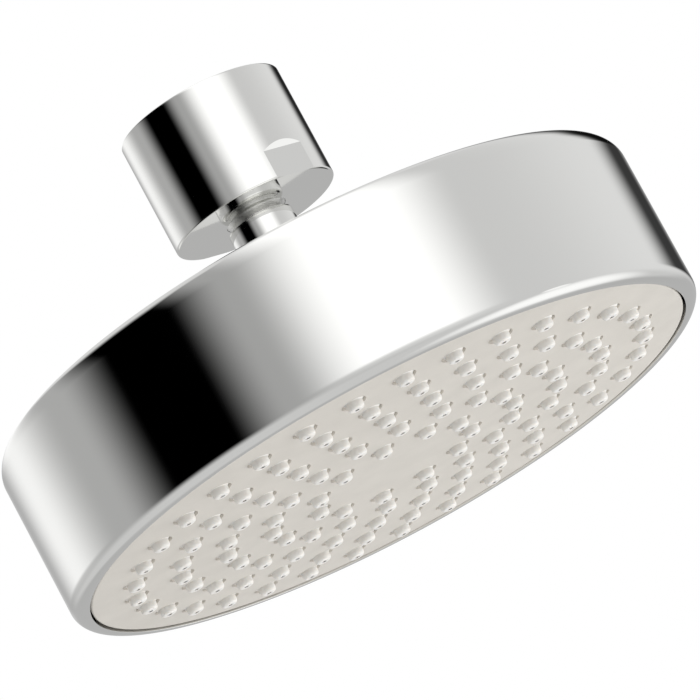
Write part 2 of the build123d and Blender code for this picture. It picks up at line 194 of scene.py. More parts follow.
# %% Chrome on moulded plastic
chromed_plastic, tree, shader, place = new_material("bright_chrome_on_abs")
film = add_node(
    tree, "ShaderNodeTexNoise", values={"Scale": per_metre(14.0), "Detail": 4.0}, links={"Vector": place}
)
gloss = add_node(
    tree,
    "ShaderNodeMapRange",
    values={"From Min": NOISE_LOW, "From Max": NOISE_HIGH, "To Min": 0.03, "To Max": 0.06},
    links={"Value": film.outputs["Fac"]},
)
wave = add_node(
    tree, "ShaderNodeTexNoise", values={"Scale": per_metre(30.0), "Detail": 0.0}, links={"Vector": place}
)
skin = add_node(
    tree,
    "ShaderNodeBump",
    values={"Strength": 0.05, "Distance": 0.02 * MM},
    links={"Height": wave.outputs["Fac"]},
)
tree.links.new(gloss.outputs["Result"], shader.inputs["Roughness"])
tree.links.new(skin.outputs["Normal"], shader.inputs["Normal"])
shader.inputs["Base Color"].default_value = linear(CHROME_COLOUR)
shader.inputs["Metallic"].default_value = 1.0
print("material:", chromed_plastic.name)

# %% [markdown]
# ## Face plate plastic
# The face is moulded ABS in a light warm grey. A spark-eroded mould gives such a face a fine satin grain,
# about a seventh of a millimetre wide. The resin has a faint cloudiness a few millimetres across.

# %% Satin ABS
plate_plastic, tree, shader, place = new_material("satin_warm_grey_abs")
cloud = add_node(
    tree, "ShaderNodeTexNoise", values={"Scale": per_metre(6.0), "Detail": 3.0}, links={"Vector": place}
)
tint = add_node(tree, "ShaderNodeValToRGB", links={"Fac": cloud.outputs["Fac"]})
tint.color_ramp.elements[0].position = NOISE_LOW
tint.color_ramp.elements[0].color = linear("#D0CCC5")
tint.color_ramp.elements[1].position = NOISE_HIGH
tint.color_ramp.elements[1].color = linear("#D6D2CB")
grain = add_node(
    tree, "ShaderNodeTexNoise", values={"Scale": per_metre(0.15), "Detail": 1.0}, links={"Vector": place}
)
gloss = add_node(
    tree,
    "ShaderNodeMapRange",
    values={"From Min": NOISE_LOW, "From Max": NOISE_HIGH, "To Min": 0.42, "To Max": 0.55},
    links={"Value": grain.outputs["Fac"]},
)
texture = add_node(
    tree,
    "ShaderNodeBump",
    values={"Strength": 0.2, "Distance": 0.01 * MM},
    links={"Height": grain.outputs["Fac"]},
)
tree.links.new(tint.outputs["Color"], shader.inputs["Base Color"])
tree.links.new(gloss.outputs["Result"], shader.inputs["Roughness"])
tree.links.new(texture.outputs["Normal"], shader.inputs["Normal"])
shader.inputs["IOR"].default_value = 1.53
print("material:", plate_plastic.name)

# %% [markdown]
# ## Nozzle silicone
# The nozzles are moulded silicone rubber, cream white and smooth enough to shine softly at their tips. Lime
# from the water settles first in tiny specks, so the colour wanders very slightly. Light goes a little way
# into the rubber, about a millimetre, and that softens the shade on each finger.

# %% Cream silicone
silicone, tree, shader, place = new_material("cream_silicone_rubber")
specks = add_node(
    tree, "ShaderNodeTexNoise", values={"Scale": per_metre(1.2), "Detail": 3.0}, links={"Vector": place}
)
tint = add_node(tree, "ShaderNodeValToRGB", links={"Fac": specks.outputs["Fac"]})
tint.color_ramp.elements[0].position = NOISE_LOW
tint.color_ramp.elements[0].color = linear("#F1EEE9")
tint.color_ramp.elements[1].position = NOISE_HIGH
tint.color_ramp.elements[1].color = linear("#F6F4F0")
gloss = add_node(
    tree,
    "ShaderNodeMapRange",
    values={"From Min": NOISE_LOW, "From Max": NOISE_HIGH, "To Min": 0.26, "To Max": 0.38},
    links={"Value": specks.outputs["Fac"]},
)
tree.links.new(tint.outputs["Color"], shader.inputs["Base Color"])
tree.links.new(gloss.outputs["Result"], shader.inputs["Roughness"])
shader.inputs["IOR"].default_value = 1.43
shader.inputs["Subsurface Weight"].default_value = 0.3
shader.inputs["Subsurface Radius"].default_value = (1.0, 0.9, 0.8)
shader.inputs["Subsurface Scale"].default_value = 0.8 * MM
print("material:", silicone.name)

# %% [markdown]
# ## Hidden pieces
# The seals, the brass ring and nut, the steel strainer, washers and screws, and the inner plastics keep
# their solids. Each still gets the finish it has on a bench: two close shades, a grain of its own size and
# a fine relief. One table holds those facts, so the five finishes share the same few nodes. Its columns are
# the dark and the light shade, metallic, roughness, the grain's width in millimetres and the IOR.

# %% Finishes of the hidden pieces
INNER_FINISHES = {
    "black_rubber": ("black_nitrile_rubber", "#1B1B1C", "#262627", 0.0, 0.6, 0.4, 1.52),
    "bare_brass": ("turned_brass", "#C9A45C", "#D8B672", 1.0, 0.22, 0.5, None),
    "steel": ("rolled_stainless_steel", "#B9B8B4", "#C9C8C5", 1.0, 0.28, 0.3, None),
    "white_acetal": ("natural_acetal", "#E6E5E0", "#EDECE8", 0.0, 0.35, 0.6, 1.48),
    "inner_plastic": ("moulded_grey_abs", "#BDBCB9", "#C6C5C2", 0.0, 0.5, 0.4, 1.53),
}
SHADE_LOW = 0.35
SHADE_HIGH = 0.65

finishes = {}
for slot, (name, dark, light, metallic, roughness, grain_mm, ior) in INNER_FINISHES.items():
    finishes[slot], tree, shader, place = new_material(name)
    grain = add_node(
        tree,
        "ShaderNodeTexNoise",
        values={"Scale": per_metre(grain_mm), "Detail": 2.0},
        links={"Vector": place},
    )
    tint = add_node(tree, "ShaderNodeValToRGB", links={"Fac": grain.outputs["Fac"]})
    tint.color_ramp.elements[0].position = SHADE_LOW
    tint.color_ramp.elements[0].color = linear(dark)
    tint.color_ramp.elements[1].position = SHADE_HIGH
    tint.color_ramp.elements[1].color = linear(light)
    relief = add_node(
        tree,
        "ShaderNodeBump",
        values={"Strength": 0.15, "Distance": 0.02 * MM},
        links={"Height": grain.outputs["Fac"]},
    )
    tree.links.new(tint.outputs["Color"], shader.inputs["Base Color"])
    tree.links.new(relief.outputs["Normal"], shader.inputs["Normal"])
    shader.inputs["Metallic"].default_value = metallic
    shader.inputs["Roughness"].default_value = roughness
    if ior:
        shader.inputs["IOR"].default_value = ior
print("inner finishes:", sorted(finishes))

# %% [markdown]
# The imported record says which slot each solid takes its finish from, so every solid gets its material by
# that slot's name. A new piece later takes its own from the same list.

# %% Finish of every solid
finishes["chromed_brass"] = chromed_brass
finishes["chromed_plastic"] = chromed_plastic
finishes["warm_grey_plastic"] = plate_plastic
finishes["cream_silicone"] = silicone
for row in frame["record"]["subparts"]:
    node = frame["nodes"][row["node"]]
    node.data.materials.clear()
    node.data.materials.append(finishes[row["material_slot"]])
print("finishes:", sorted(finishes))

# %% [markdown]
# ## Tools for turning
# A lathe would make most of these pieces, so they are modelled as on a lathe. A plane is merged to one
# vertex, which is pulled along the section corner by corner; some corners are rounded by a vertex
# bevel, and the spin operator turns the section about Z.

# %% Tools for turning
WELD = 0.0005 * MM
TURN_STEPS = 192


def pick_vertices(piece, rule):
    """In edit mode, selects the vertices whose place passes the rule."""
    bpy.ops.mesh.select_mode(type="VERT")
    bpy.ops.mesh.select_all(action="DESELECT")
    bpy.ops.object.mode_set(mode="OBJECT")
    for vertex in piece.data.vertices:
        vertex.select = rule(vertex.co)
    bpy.ops.object.mode_set(mode="EDIT")


def draw_section(name, corners, closed=True):
    """Pulls one vertex along the section's corners, (radius, height) in mm, and stays in edit mode."""
    bpy.ops.object.select_all(action="DESELECT")
    bpy.ops.mesh.primitive_plane_add(size=MM)
    piece = bpy.context.object
    piece.name = name
    piece.data.name = name
    bpy.ops.object.mode_set(mode="EDIT")
    bpy.ops.mesh.select_all(action="SELECT")
    bpy.ops.mesh.merge(type="CENTER")
    r, z = corners[0]
    bpy.ops.transform.translate(value=(r * MM, 0, z * MM))
    for next_r, next_z in corners[1:] + (corners[:1] if closed else []):
        step = ((next_r - r) * MM, 0, (next_z - z) * MM)
        bpy.ops.mesh.extrude_region_move(TRANSFORM_OT_translate={"value": step})
        r, z = next_r, next_z
    bpy.ops.mesh.select_all(action="SELECT")
    bpy.ops.mesh.remove_doubles(threshold=WELD)
    return piece


def arc(centre_r, centre_z, radius, start, end, pieces):
    """Section points on an arc between two angles, in degrees from the outward direction."""
    angles = [radians(start + (end - start) * i / pieces) for i in range(pieces + 1)]
    return [(centre_r + radius * cos(a), centre_z + radius * sin(a)) for a in angles]


def round_corner(piece, r, z, radius, segments):
    """Rounds the section's right-angled corner at this place."""
    corner = Vector((r * MM, 0, z * MM))
    pick_vertices(piece, lambda co: (co - corner).length < WELD)
    bpy.ops.mesh.bevel(offset=radius * MM, segments=segments, affect="VERTICES")


def spin_section(piece, steps=TURN_STEPS):
    """Turns the section once about Z, welds it and points its faces outwards."""
    bpy.ops.mesh.select_all(action="SELECT")
    bpy.ops.mesh.spin(steps=steps, angle=2 * pi, center=(0, 0, 0), axis=(0, 0, 1))
    bpy.ops.mesh.select_all(action="SELECT")
    bpy.ops.mesh.remove_doubles(threshold=WELD)
    bpy.ops.mesh.dissolve_degenerate(threshold=WELD)
    bpy.ops.mesh.normals_make_consistent(inside=False)
    bpy.ops.object.mode_set(mode="OBJECT")
    print(piece.name, "turned faces:", len(piece.data.polygons))


print("a full turn has", TURN_STEPS, "steps")

# %% [markdown]
# ## Tools for cutting and finishing
# What a lathe can't make is cut or joined on with a block or a copied shape. Weighted normals then keep
# the wide faces perfectly even, so that a mirror finish doesn't bend near its rounded edges.

# %% Tools for cutting and finishing
SHARP_ANGLE = radians(13)


def select_only(piece):
    """Makes this the one selected and active object."""
    bpy.ops.object.select_all(action="DESELECT")
    piece.select_set(True)
    bpy.context.view_layer.objects.active = piece


def stretched_cube(size, centre):
    """Adds a cube, stretches and moves it to its size and centre in mm, and stays in edit mode."""
    bpy.ops.object.select_all(action="DESELECT")
    bpy.ops.mesh.primitive_cube_add(size=1)
    block = bpy.context.object
    bpy.ops.object.mode_set(mode="EDIT")
    bpy.ops.mesh.select_all(action="SELECT")
    bpy.ops.transform.resize(value=[value * MM for value in size])
    bpy.ops.transform.translate(value=[value * MM for value in centre])
    return block


def copy_around(count):
    """Copies the whole active mesh around Z so that there are count of it."""
    bpy.ops.object.mode_set(mode="EDIT")
    bpy.ops.mesh.select_all(action="SELECT")
    bpy.ops.mesh.spin(
        steps=count, dupli=True, angle=2 * pi, center=(0, 0, 0), axis=(0, 0, 1), use_auto_merge=False
    )
    bpy.ops.mesh.select_all(action="SELECT")
    bpy.ops.mesh.remove_doubles(threshold=WELD)
    bpy.ops.mesh.normals_make_consistent(inside=False)
    bpy.ops.object.mode_set(mode="OBJECT")


def cut_or_join(piece, tool, operation):
    """Applies a boolean with the tool object, which is then deleted."""
    select_only(piece)
    bpy.ops.object.modifier_add(type="BOOLEAN")
    boolean = piece.modifiers[-1]
    boolean.object = tool
    boolean.operation = operation
    boolean.solver = "EXACT"
    bpy.ops.object.modifier_apply(modifier=boolean.name)
    bpy.data.objects.remove(tool)


def finish_piece(piece, body, node, slot, sharp=SHARP_ANGLE, finish=None):
    """Smooths the shading, gives the finish, and lets the piece stand for its node on its body."""
    select_only(piece)
    bpy.ops.object.shade_smooth_by_angle(angle=sharp)
    bpy.ops.object.modifier_add(type="WEIGHTED_NORMAL")
    even = piece.modifiers[-1]
    even.keep_sharp = True
    bpy.ops.object.modifier_apply(modifier=even.name)
    piece.data.materials.clear()
    piece.data.materials.append(finish or finishes[slot])
    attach(piece, body)
    if node:
        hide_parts(node)
    print(piece.name, "faces:", len(piece.data.polygons))


print("edges sharper than", round(degrees(SHARP_ANGLE)), "degrees stay sharp")

# %% [markdown]
# ## Drum
# The drum is the widest piece: a plated cup that hangs open side down. Its section is a thin wall and a
# roof, with a soft round on top, a smaller one at the rim and a fine bevel where the face plate drops in.

# %% Drum
DRUM_R = 54.0
DRUM_BORE_R = 51.4
DRUM_TOP_Z = -36.604
DRUM_ROOF_Z = -39.004
RIM_Z = -63.754
STEM_HOLE_R = 5.15
RIM_LIP = 0.05
RIM_ROUND = 2.1
TOP_ROUND = 3.2
ROOF_ROUND = 2.0

drum = draw_section("drum", [
    (DRUM_BORE_R, RIM_Z + RIM_LIP),
    (DRUM_BORE_R + RIM_LIP, RIM_Z),
    (DRUM_R, RIM_Z),
    (DRUM_R, DRUM_TOP_Z),
    (STEM_HOLE_R, DRUM_TOP_Z),
    (STEM_HOLE_R, DRUM_ROOF_Z),
    (DRUM_BORE_R, DRUM_ROOF_Z),
])
round_corner(drum, DRUM_R, RIM_Z, RIM_ROUND, segments=14)
round_corner(drum, DRUM_R, DRUM_TOP_Z, TOP_ROUND, segments=14)
round_corner(drum, DRUM_BORE_R, DRUM_ROOF_Z, ROOF_ROUND, segments=8)
spin_section(drum, steps=256)

# %% [markdown]
# Six ribs stiffen the roof inside. A cube is stretched to one rib, which sinks a little into roof and wall,
# and it is copied around and joined on.

# %% Ribs of the drum
RIB_FROM_R = 12.0
RIB_T = 1.6
RIB_H = 3.0
RIB_COUNT = 6
RIB_SINK = 0.3

rib_len = DRUM_BORE_R - RIB_FROM_R + RIB_SINK
ribs = stretched_cube(
    (rib_len, RIB_T, RIB_H + RIB_SINK),
    (RIB_FROM_R + rib_len / 2, 0, DRUM_ROOF_Z + (RIB_SINK - RIB_H) / 2),
)
copy_around(RIB_COUNT)
print("rib vertices:", len(ribs.data.vertices))
cut_or_join(drum, ribs, "UNION")
finish_piece(drum, "head", "housing", "chromed_plastic")

# %% [markdown]
# ## Connector nut
# The nut is turned from brass bar: a round body, a threaded mouth on top, a bore for the ball seat and a
# spherical lip below that carries the ball. Its underside rises a tenth of a millimetre towards the edge.

# %% Connector nut
NUT_R = 13.65
NUT_EDGE = 0.35
NUT_LOW_Z = -19.2516
FACE_CROWN = 0.11
EXIT_R = 5.077
THREAD_R = 10.4775
THREAD_FLOOR_Z = -7.2
SEAT_BORE_R = 9.25
BALL_Z = -13.65
CAVITY_R = 7.56

lip_angle = degrees(asin((NUT_LOW_Z - BALL_Z) / CAVITY_R))
nut = draw_section("connector_nut_turned", [
    (EXIT_R, NUT_LOW_Z),
    (NUT_R, NUT_LOW_Z + FACE_CROWN),
    (NUT_R, 0.0),
    (THREAD_R, 0.0),
    (THREAD_R, THREAD_FLOOR_Z),
    (SEAT_BORE_R, THREAD_FLOOR_Z),
    (SEAT_BORE_R, BALL_Z),
    *arc(0, BALL_Z, CAVITY_R, 0, lip_angle, pieces=12)[:-1],
])
round_corner(nut, NUT_R, NUT_LOW_Z + FACE_CROWN, NUT_EDGE, segments=8)
round_corner(nut, NUT_R, 0.0, NUT_EDGE, segments=8)
spin_section(nut)

# %% [markdown]
# Two wrench flats are milled across the nut's lower end, and the cutter leaves a sloped ledge above each.
# Each flat is cut by a cube whose outer top edge is pulled up to the ledge's slope.

# %% Wrench flats
FLAT_HALF = 13.13
FLAT_H = 4.88
LEDGE_SLOPE = radians(62.5)
CUT_OVER = 1.0

reach = NUT_R - FLAT_HALF + NUT_EDGE
flat_top_z = NUT_LOW_Z + FLAT_H
outer_y = (FLAT_HALF + reach) * MM
top_z = flat_top_z * MM
for side in (-1, 1):
    cutter = stretched_cube(
        (2 * NUT_R, reach, FLAT_H + CUT_OVER),
        (0, side * (FLAT_HALF + reach / 2), flat_top_z - (FLAT_H + CUT_OVER) / 2),
    )
    pick_vertices(cutter, lambda co: abs(abs(co.y) - outer_y) < WELD and abs(co.z - top_z) < WELD)
    bpy.ops.transform.translate(value=(0, 0, reach * tan(LEDGE_SLOPE) * MM))
    bpy.ops.object.mode_set(mode="OBJECT")
    cut_or_join(nut, cutter, "DIFFERENCE")
finish_piece(nut, "connector", "connector_nut", "chromed_brass")

# %% [markdown]
# ## Inlet thread
# The mouth has a half-inch pipe thread. One ridge section is drawn at the wall and the Screw modifier winds
# it up the bore with the real pitch.

# %% Inlet thread
PITCH = 1.814
CREST_R = 9.3155
CREST_SOFT_R = 0.1
CREST_SOFT_Z = 0.05
RIDGE_HALF_BASE = 0.74
RIDGE_HALF_CREST = 0.16
RIDGE_SINK = 0.06
THREAD_TURNS = 3
THREAD_STEPS = 72
THREAD_LOW_Z = -6.3

root_r = THREAD_R + RIDGE_SINK
thread = draw_section("inlet_thread_ridge", [
    (root_r, -RIDGE_HALF_BASE + THREAD_LOW_Z),
    (THREAD_R, -RIDGE_HALF_BASE + THREAD_LOW_Z),
    (CREST_R + CREST_SOFT_R, -RIDGE_HALF_CREST + THREAD_LOW_Z - CREST_SOFT_Z),
    (CREST_R, -RIDGE_HALF_CREST / 2 + THREAD_LOW_Z),
    (CREST_R, RIDGE_HALF_CREST / 2 + THREAD_LOW_Z),
    (CREST_R + CREST_SOFT_R, RIDGE_HALF_CREST + THREAD_LOW_Z + CREST_SOFT_Z),
    (THREAD_R, RIDGE_HALF_BASE + THREAD_LOW_Z),
    (root_r, RIDGE_HALF_BASE + THREAD_LOW_Z),
])
bpy.ops.object.mode_set(mode="OBJECT")
section_size = len(thread.data.vertices)
bpy.ops.object.modifier_add(type="SCREW")
winding = thread.modifiers[-1]
winding.screw_offset = PITCH * MM
winding.iterations = THREAD_TURNS
winding.steps = THREAD_STEPS
winding.render_steps = THREAD_STEPS
winding.use_merge_vertices = False
bpy.ops.object.modifier_apply(modifier=winding.name)
print("thread sections:", len(thread.data.vertices) / section_size)

# %% [markdown]
# A cut thread runs out gently, so at both ends the ridge sinks into the wall over a quarter turn. The ends
# are then closed.

# %% Run-out of the thread
FADE_STEPS = 18

last_section = THREAD_TURNS * THREAD_STEPS
for index, vertex in enumerate(thread.data.vertices):
    section = index // section_size
    from_end = min(section, last_section - section)
    share = min(1.0, (from_end + 0.5) / FADE_STEPS)
    radius = Vector((vertex.co.x, vertex.co.y)).length
    sunk = (root_r * MM + (radius - root_r * MM) * share) / radius
    vertex.co.x *= sunk
    vertex.co.y *= sunk
bpy.ops.object.mode_set(mode="EDIT")
bpy.ops.mesh.select_all(action="SELECT")
bpy.ops.mesh.fill_holes(sides=section_size)
bpy.ops.mesh.select_all(action="SELECT")
bpy.ops.mesh.normals_make_consistent(inside=False)
bpy.ops.object.mode_set(mode="OBJECT")
finish_piece(thread, "connector", None, "chromed_brass", sharp=radians(40))

# %% [markdown]
# ## Ball
# The ball is turned with its neck and hollow shank in one piece, and the shank screws into the stem. A rod
# with six sides cuts the socket for a hexagon key into the floor of its inlet.

# %% Ball
BALL_R = 7.5
CROWN_H = 3.3
CROWN_Z = BALL_Z + CROWN_H
INLET_R = 5.3
INLET_DEPTH = 4.0
INLET_FLOOR_Z = CROWN_Z - INLET_DEPTH
WATER_R = 2.0
SHANK_R = 3.4
SHANK_LEN = 7.5
NECK_R = 4.0
STEM_TOP_Z = -20.354
SHANK_END_Z = STEM_TOP_Z - SHANK_LEN
KEY_ACROSS = 4.6
KEY_DEPTH = 3.0
SMALL_TURN_STEPS = 128


def add_rod(radius, length, r, z, sides):
    """Adds an upright rod with its middle at this radius and height, in mm, as a cutter."""
    bpy.ops.object.select_all(action="DESELECT")
    bpy.ops.mesh.primitive_cylinder_add(
        vertices=sides, radius=radius * MM, depth=length * MM, location=(r * MM, 0, z * MM)
    )
    rod = bpy.context.object
    bpy.ops.object.transform_apply()
    return rod


crown_angle = degrees(asin((CROWN_Z - BALL_Z) / BALL_R))
neck_angle = -degrees(acos(NECK_R / BALL_R))
ball = draw_section("swivel_ball_turned", [
    *arc(0, BALL_Z, BALL_R, crown_angle, neck_angle, pieces=24),
    (NECK_R, STEM_TOP_Z),
    (SHANK_R, STEM_TOP_Z),
    (SHANK_R, SHANK_END_Z),
    (WATER_R, SHANK_END_Z),
    (WATER_R, INLET_FLOOR_Z),
    (INLET_R, INLET_FLOOR_Z),
    (INLET_R, CROWN_Z),
])
spin_section(ball, SMALL_TURN_STEPS)
key = add_rod(KEY_ACROSS / sqrt(3), 2 * KEY_DEPTH, 0, INLET_FLOOR_Z, sides=6)
cut_or_join(ball, key, "DIFFERENCE")
finish_piece(ball, "head", "swivel_ball", "chromed_brass", finish=satin_chrome)

# %% [markdown]
# ## Stem
# The stem is a turned tube. It ends in a rounded collar just under the nut, its flange sits on a gasket on
# the drum, and its tail goes through the drum's roof, where the lock nut holds it.

# %% Stem
STEM_R = 5.45
COLLAR_ROUND = 0.65
STEM_FILLET = 0.4
FLANGE_R = 9.0
FLANGE_ROUND = 0.7
FLANGE_EDGE = 0.2
FLANGE_T = 2.2
GASKET_T = 1.0
FLANGE_LOW_Z = DRUM_TOP_Z + GASKET_T
FLANGE_TOP_Z = FLANGE_LOW_Z + FLANGE_T
TAIL_R = 5.0
TAIL_END_Z = -49.004
TAIL_CHAMFER = 0.5
SOCKET_SPARE = 1.3
SOCKET_FLOOR_Z = SHANK_END_Z - SOCKET_SPARE

stem = draw_section("stem_turned", [
    (SHANK_R, STEM_TOP_Z),
    (STEM_R, STEM_TOP_Z),
    (STEM_R, FLANGE_TOP_Z),
    (FLANGE_R, FLANGE_TOP_Z),
    (FLANGE_R, FLANGE_LOW_Z),
    (TAIL_R, FLANGE_LOW_Z),
    (TAIL_R, TAIL_END_Z + TAIL_CHAMFER),
    (TAIL_R - TAIL_CHAMFER, TAIL_END_Z),
    (WATER_R, TAIL_END_Z),
    (WATER_R, SOCKET_FLOOR_Z),
    (SHANK_R, SOCKET_FLOOR_Z),
])
round_corner(stem, STEM_R, STEM_TOP_Z, COLLAR_ROUND, segments=10)
round_corner(stem, STEM_R, FLANGE_TOP_Z, STEM_FILLET, segments=8)
round_corner(stem, FLANGE_R, FLANGE_TOP_Z, FLANGE_ROUND, segments=9)
round_corner(stem, FLANGE_R, FLANGE_LOW_Z, FLANGE_EDGE, segments=8)
spin_section(stem, SMALL_TURN_STEPS)
finish_piece(stem, "head", "stem", "chromed_brass")

# %% [markdown]
# ## Face plate
# The face bulges a little, as part of a sphere almost two metres across. It is a shallow dish with a wall
# that takes the screws of the spray chamber. The section follows the sphere in steps of a few millimetres.

# %% Face plate
PLATE_R = 51.1
PLATE_BORE_R = 46.8
PLATE_RECESS = 0.25
PLATE_H = 5.0
PLATE_EDGE_Z = RIM_Z + PLATE_RECESS
PLATE_TOP_Z = PLATE_EDGE_Z + PLATE_H
PLATE_EDGE = 0.3
PLATE_DOME = 1.45
PLATE_T = 2.0
DOME_STEP = 4.0
DOME_RADII = [DOME_STEP * i for i in range(1, 12)]
LAST_DOME_R = 48.0

dome_r = (PLATE_R**2 + PLATE_DOME**2) / (2 * PLATE_DOME)
dome_centre_z = PLATE_EDGE_Z + sqrt(dome_r**2 - PLATE_R**2)


def dome_z(r, depth=0.0):
    """Height of the domed face at radius r, or of the sphere that lies depth behind it."""
    return dome_centre_z - sqrt((dome_r - depth) ** 2 - r**2)


plate = draw_section("face_plate_moulded", [
    (0.0, dome_z(0)),
    *[(r, dome_z(r)) for r in DOME_RADII],
    (LAST_DOME_R, dome_z(LAST_DOME_R)),
    (PLATE_R, PLATE_EDGE_Z),
    (PLATE_R, PLATE_TOP_Z),
    (PLATE_BORE_R, PLATE_TOP_Z),
    (PLATE_BORE_R, dome_z(PLATE_BORE_R, PLATE_T)),
    *[(r, dome_z(r, PLATE_T)) for r in reversed(DOME_RADII)],
    (0.0, dome_z(0, PLATE_T)),
], closed=False)
round_corner(plate, PLATE_R, PLATE_EDGE_Z, PLATE_EDGE, segments=8)
spin_section(plate)

# %% [markdown]
# The nozzle holes lie on five rings. One rod is placed on each ring and the spin operator copies it around.
# The screw holes in the wall are made in the same way, and one boolean cuts them all.

# %% Holes in the face plate
HOLE_R = 2.05
SCREW_R = 1.3
SCREW_CIRCLE_R = 48.95
SCREW_COUNT = 8
SCREW_HOLE_H = 3.6
RING_COUNTS = (11, 18, 23, 28, 33)
FIRST_RING_R = 13.32
LAST_RING_R = 43.88

ring_pitch = (LAST_RING_R - FIRST_RING_R) / (len(RING_COUNTS) - 1)
rings = [(FIRST_RING_R + i * ring_pitch, count) for i, count in enumerate(RING_COUNTS)]


def join_all(pieces):
    """Joins the objects into the first one and gives it back."""
    bpy.ops.object.select_all(action="DESELECT")
    for piece in pieces:
        piece.select_set(True)
    bpy.context.view_layer.objects.active = pieces[0]
    bpy.ops.object.join()
    return pieces[0]


drills = []
for ring_r, count in rings:
    drills.append(add_rod(HOLE_R, 2 * (PLATE_T + CUT_OVER), ring_r, dome_z(ring_r), sides=36))
    copy_around(count)
drills.append(add_rod(SCREW_R, 2 * SCREW_HOLE_H, SCREW_CIRCLE_R, PLATE_TOP_Z, sides=20))
copy_around(SCREW_COUNT)
print("nozzle holes:", sum(RING_COUNTS), "screw holes:", SCREW_COUNT)
cut_or_join(plate, join_all(drills), "DIFFERENCE")
finish_piece(plate, "head", "face_plate", "warm_grey_plastic", sharp=radians(25))

# %% [markdown]
# ## Nozzle mat
# All the nozzles are one silicone moulding: a domed sheet behind the plate with a soft finger through each
# hole. The sheet is turned like the plate.

# %% Nozzle mat
MAT_R = 46.6
MAT_GAP = 0.05
MAT_T = 1.5
MAT_FRONT = PLATE_T + MAT_GAP
MAT_BACK = MAT_FRONT + MAT_T
MAT_STEP = 6.0
MAT_RADII = [MAT_STEP * i for i in range(1, 8)]

mat = draw_section("nozzle_mat_moulded", [
    (0.0, dome_z(0, MAT_FRONT)),
    *[(r, dome_z(r, MAT_FRONT)) for r in MAT_RADII],
    (MAT_R, dome_z(MAT_R, MAT_FRONT)),
    (MAT_R, dome_z(MAT_R, MAT_BACK)),
    *[(r, dome_z(r, MAT_BACK)) for r in reversed(MAT_RADII)],
    (0.0, dome_z(0, MAT_BACK)),
], closed=False)
spin_section(mat, steps=96)

# %% [markdown]
# A finger is nearly a cylinder with a strongly rounded tip, and a fine jet opens in its end. One finger is
# turned for each ring, copied around and joined to the sheet, and then the jets are drilled in the same way.

# %% Nozzles
NOZZLE_R = 1.42
NOZZLE_OUT = 1.1
NOZZLE_TAPER = 0.05
NOZZLE_FOOT = 0.1
TIP_ROUND = 0.52
TIP_R = NOZZLE_R - NOZZLE_TAPER - TIP_ROUND
ROOT_R = 1.95
ROOT_FROM = 0.5
ROOT_SINK = 0.6
NOZZLE_ROOT = PLATE_T + ROOT_SINK
JET_R = 0.37
JET_LIP = 0.04
FEED_R = 0.85
FEED_FROM = 0.45


def place_on_rings(name, section, steps):
    """Turns a small section into a pin and copies the pin to every nozzle's place."""
    made = []
    for ring_r, count in rings:
        pin = draw_section(name, section, closed=False)
        spin_section(pin, steps)
        bpy.ops.object.mode_set(mode="EDIT")
        bpy.ops.mesh.select_all(action="SELECT")
        bpy.ops.transform.translate(value=(ring_r * MM, 0, dome_z(ring_r) * MM))
        copy_around(count)
        made.append(pin)
    return join_all(made)


fingers = place_on_rings("nozzle_fingers", [
    (0.0, NOZZLE_ROOT),
    (ROOT_R, NOZZLE_ROOT),
    (ROOT_R, ROOT_FROM),
    (NOZZLE_R, NOZZLE_FOOT),
    *arc(TIP_R, TIP_ROUND - NOZZLE_OUT, TIP_ROUND, 0, -90, pieces=5),
    (0.0, -NOZZLE_OUT),
], steps=24)
cut_or_join(mat, fingers, "UNION")
jets = place_on_rings("nozzle_jets", [
    (0.0, -NOZZLE_OUT - CUT_OVER),
    (JET_R, -NOZZLE_OUT - CUT_OVER),
    (JET_R, -NOZZLE_OUT + JET_LIP),
    (FEED_R, -NOZZLE_OUT + FEED_FROM),
    (FEED_R, MAT_BACK + CUT_OVER),
    (0.0, MAT_BACK + CUT_OVER),
], steps=16)
cut_or_join(mat, jets, "DIFFERENCE")
finish_piece(mat, "head", "nozzle_mat", "cream_silicone", sharp=radians(30))

# %% [markdown]
# ## Studio
# Chrome shows the room rather than itself, so the room is the main work of this picture. In the photograph
# the drum and the nut mirror the same bands: a large soft box near the camera, a black gap on its left,
# a paler box further round, two black flags far round on the right, and grey walls between. The panels
# stand in a ring, lean together over the object and meet behind it, so that each band runs straight up the
# round of the drum's edge. Adding the camera's own direction to a direction in the room gives that lean: the
# bearing of the sum is half way between the two, so twice that, less the camera's, is the bearing again.
# Above the horizon the leaning panels also sway sideways by a share of their height.

# %% Directions in the room
PANEL_SWAY = 0.22
BEARING = 360
HEIGHT = 180

